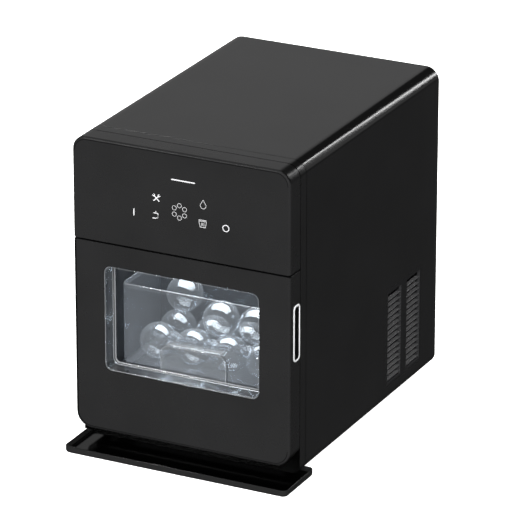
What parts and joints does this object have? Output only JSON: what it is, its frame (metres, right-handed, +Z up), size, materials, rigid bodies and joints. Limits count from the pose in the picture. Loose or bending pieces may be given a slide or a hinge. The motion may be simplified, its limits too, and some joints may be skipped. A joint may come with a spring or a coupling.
{
  "type": "countertop ice maker",
  "caption": "Tall narrow countertop ice maker with a windowed front door, clear ice bin, flat touch panel, side vents and a drip tray.",
  "frame": {"origin": "bottom centre of the bounding box, on the surface the ice maker stands on", "axes": "+Z up, the door faces -Y, +X to the right seen from the front"},
  "size_m": [0.25, 0.367, 0.3355],
  "materials": {
    "cabinet_black": "satin black",
    "front_black": "satin gloss black",
    "tray_black": "gloss black",
    "panel_ink": "printed white ink",
    "clear_plastic": "clear polished plastic",
    "ice": "wet clear ice",
    "liner_grey": "glossy blue grey moulding",
    "foam": "cut foam",
    "chrome_trim": "polished",
    "zinc_steel": "zinc plated",
    "tinned_copper": "tinned",
    "copper_pipe": "drawn copper",
    "compressor_black": "enamel",
    "rubber_black": "matte",
    "white_plastic": "satin",
    "dark_plastic": "satin",
    "circuit_green": "lacquered board",
    "aluminium_fins": "bare"
  },
  "bodies": {
    "cabinet": {"housing_wrap": "cabinet_black", "front_frame": "front_black", "base_pan": "zinc_steel", "back_panel": "cabinet_black", "vent_grille_right": "dark_plastic", "vent_grille_left": "dark_plastic", "rubber_feet": "rubber_black", "foot_screws": "zinc_steel", "base_screws": "zinc_steel", "back_screws": "zinc_steel", "control_panel": "front_black", "control_board": "circuit_green", "icon_power_on": "panel_ink", "icon_power_off": "panel_ink", "icon_clean": "panel_ink", "icon_rinse": "panel_ink", "icon_ice_ring": "panel_ink", "icon_add_water": "panel_ink", "icon_bin_full": "panel_ink", "panel_mark": "panel_ink", "catch_plate": "zinc_steel", "hinge_pins": "zinc_steel", "cavity_liner": "liner_grey", "insulation": "foam", "water_tank": "liner_grey", "float_stem": "white_plastic", "water_pump": "dark_plastic", "evaporator": "tinned_copper", "ice_fingers": "tinned_copper", "trough_bearings": "white_plastic", "trough_motor": "zinc_steel", "ice_full_sensor": "dark_plastic", "water_outlet": "white_plastic", "compressor": "compressor_black", "compressor_grommets": "rubber_black", "condenser": "aluminium_fins", "fan_shroud": "dark_plastic", "fan_motor": "zinc_steel", "refrigerant_pipes": "copper_pipe", "power_board": "circuit_green", "power_inlet": "dark_plastic", "inlet_pins": "zinc_steel", "drain_spout": "dark_plastic"},
    "door": {"door_shell": "front_black", "door_liner": "dark_plastic", "door_window": "clear_plastic", "window_bezel": "dark_plastic", "door_gasket": "rubber_black", "door_screws": "zinc_steel", "door_magnet": "zinc_steel", "pull_cup": "dark_plastic", "pull_trim": "chrome_trim"},
    "bin": {"ice_bin": "clear_plastic", "ice_balls": "ice"},
    "tray": {"drip_tray": "tray_black"},
    "fan": {"condenser_fan": "dark_plastic"},
    "trough": {"trough": "white_plastic"},
    "float": {"water_float": "white_plastic"},
    "plug": {"drain_plug": "rubber_black"}
  },
  "joints": [
    {"name": "door_swing", "type": "hinge", "parent": "cabinet", "child": "door", "pos_m": [-0.11, -0.153, 0.12], "axis": [0, 0, -1], "range_deg": [0, 90]},
    {"name": "bin_slide", "type": "slide", "parent": "cabinet", "child": "bin", "axis": [0, -1, 0], "range_m": [0, 0.06]},
    {"name": "tray_slide", "type": "slide", "parent": "cabinet", "child": "tray", "axis": [0, -1, 0], "range_m": [0, 0.06]},
    {"name": "fan_spin", "type": "hinge", "parent": "cabinet", "child": "fan", "pos_m": [0.08, 0.1, 0.079], "axis": [1, 0, 0], "continuous": true},
    {"name": "trough_tilt", "type": "hinge", "parent": "cabinet", "child": "trough", "pos_m": [0, -0.007, 0.174], "axis": [-1, 0, 0], "range_deg": [0, 70]},
    {"name": "float_rise", "type": "slide", "parent": "cabinet", "child": "float", "axis": [0, 0, 1], "range_m": [0, 0.012]},
    {"name": "drain_plug_pull", "type": "slide", "parent": "cabinet", "child": "plug", "axis": [0, 1, 0], "range_m": [0, 0.02]}
  ],
  "couplings": [
    {"joint": "bin_slide", "follows": "door_swing", "m_per_rad": 0.038}
  ]
}
